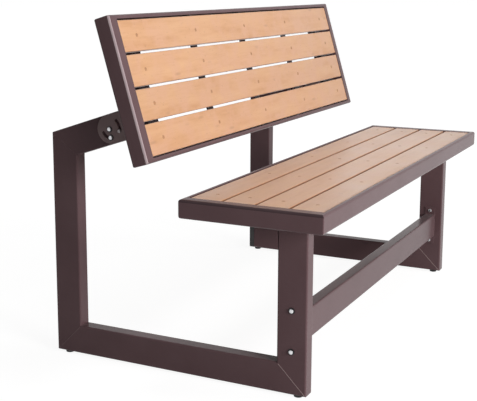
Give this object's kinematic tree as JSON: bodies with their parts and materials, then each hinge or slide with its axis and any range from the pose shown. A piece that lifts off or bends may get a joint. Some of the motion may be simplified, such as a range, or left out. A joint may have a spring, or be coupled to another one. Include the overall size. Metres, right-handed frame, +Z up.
{
  "type": "monks bench",
  "caption": "Slatted garden bench on mitred tube frames; its backrest swings over stopped arm hinges and lies level as a table top.",
  "frame": {"origin": "on the ground, below the middle of the bench's outer box", "axes": "+X along the bench towards its right end as seen from the front, -Y the way the seat faces, +Z up"},
  "size_m": [1.397, 0.775, 0.889],
  "materials": {
    "frame_paint": "satin dark brown powder coat",
    "slat_wood": "oiled warm tan wood with soft grain",
    "bolt_steel": "bright zinc plated",
    "black_plastic": "matte black moulded plastic",
    "lever_steel": "blackened steel"
  },
  "bodies": {
    "frame": {"left_front_leg": "frame_paint", "left_bottom_rail": "frame_paint", "left_rear_leg": "frame_paint", "left_hinge_arm": "frame_paint", "left_seat_bearer": "frame_paint", "left_bearer_cap": "black_plastic", "left_front_foot": "black_plastic", "left_rear_foot": "black_plastic", "right_front_leg": "frame_paint", "right_bottom_rail": "frame_paint", "right_rear_leg": "frame_paint", "right_hinge_arm": "frame_paint", "right_seat_bearer": "frame_paint", "right_bearer_cap": "black_plastic", "right_front_foot": "black_plastic", "right_rear_foot": "black_plastic", "stretcher": "frame_paint", "left_lower_stretcher_bolt": "bolt_steel", "left_upper_stretcher_bolt": "bolt_steel", "right_lower_stretcher_bolt": "bolt_steel", "right_upper_stretcher_bolt": "bolt_steel", "left_pivot_bolt": "bolt_steel", "left_stop_bolt": "bolt_steel", "right_pivot_bolt": "bolt_steel", "right_stop_bolt": "bolt_steel", "seat_front_rail": "frame_paint", "seat_rear_rail": "frame_paint", "seat_right_end_rail": "frame_paint", "seat_left_end_rail": "frame_paint", "seat_slat_1": "slat_wood", "seat_slat_2": "slat_wood", "seat_slat_3": "slat_wood", "seat_slat_4": "slat_wood", "seat_cross_member_1": "frame_paint", "seat_cross_member_2": "frame_paint", "seat_cross_member_3": "frame_paint", "seat_cross_member_4": "frame_paint", "seat_cross_member_5": "frame_paint"},
    "backrest": {"back_front_rail": "frame_paint", "back_rear_rail": "frame_paint", "back_right_end_rail": "frame_paint", "back_left_end_rail": "frame_paint", "back_slat_1": "slat_wood", "back_slat_2": "slat_wood", "back_slat_3": "slat_wood", "back_slat_4": "slat_wood", "back_cross_member_1": "frame_paint", "back_cross_member_2": "frame_paint", "back_cross_member_3": "frame_paint", "back_cross_member_4": "frame_paint", "back_cross_member_5": "frame_paint", "left_hinge_bracket": "frame_paint", "left_adjusting_bolt": "bolt_steel", "right_hinge_bracket": "frame_paint", "right_adjusting_bolt": "bolt_steel"},
    "left_lever": {"left_release_lever": "lever_steel", "left_lever_grip": "black_plastic"},
    "right_lever": {"right_release_lever": "lever_steel", "right_lever_grip": "black_plastic"}
  },
  "joints": [
    {"name": "backrest_hinge", "type": "hinge", "parent": "frame", "child": "backrest", "pos_m": [0, 0.20844, 0.60772], "axis": [-1, 0, 0], "range_deg": [0, 73.5]},
    {"name": "left_lever_hinge", "type": "hinge", "parent": "backrest", "child": "left_lever", "pos_m": [-0.593, 0.14363, 0.62483], "axis": [-1, 0, 0], "range_deg": [0, 15], "stiffness_Nm_per_rad": 0.15, "springref_deg": -20.05},
    {"name": "right_lever_hinge", "type": "hinge", "parent": "backrest", "child": "right_lever", "pos_m": [0.593, 0.14363, 0.62483], "axis": [-1, 0, 0], "range_deg": [0, 15], "stiffness_Nm_per_rad": 0.15, "springref_deg": -20.05}
  ]
}
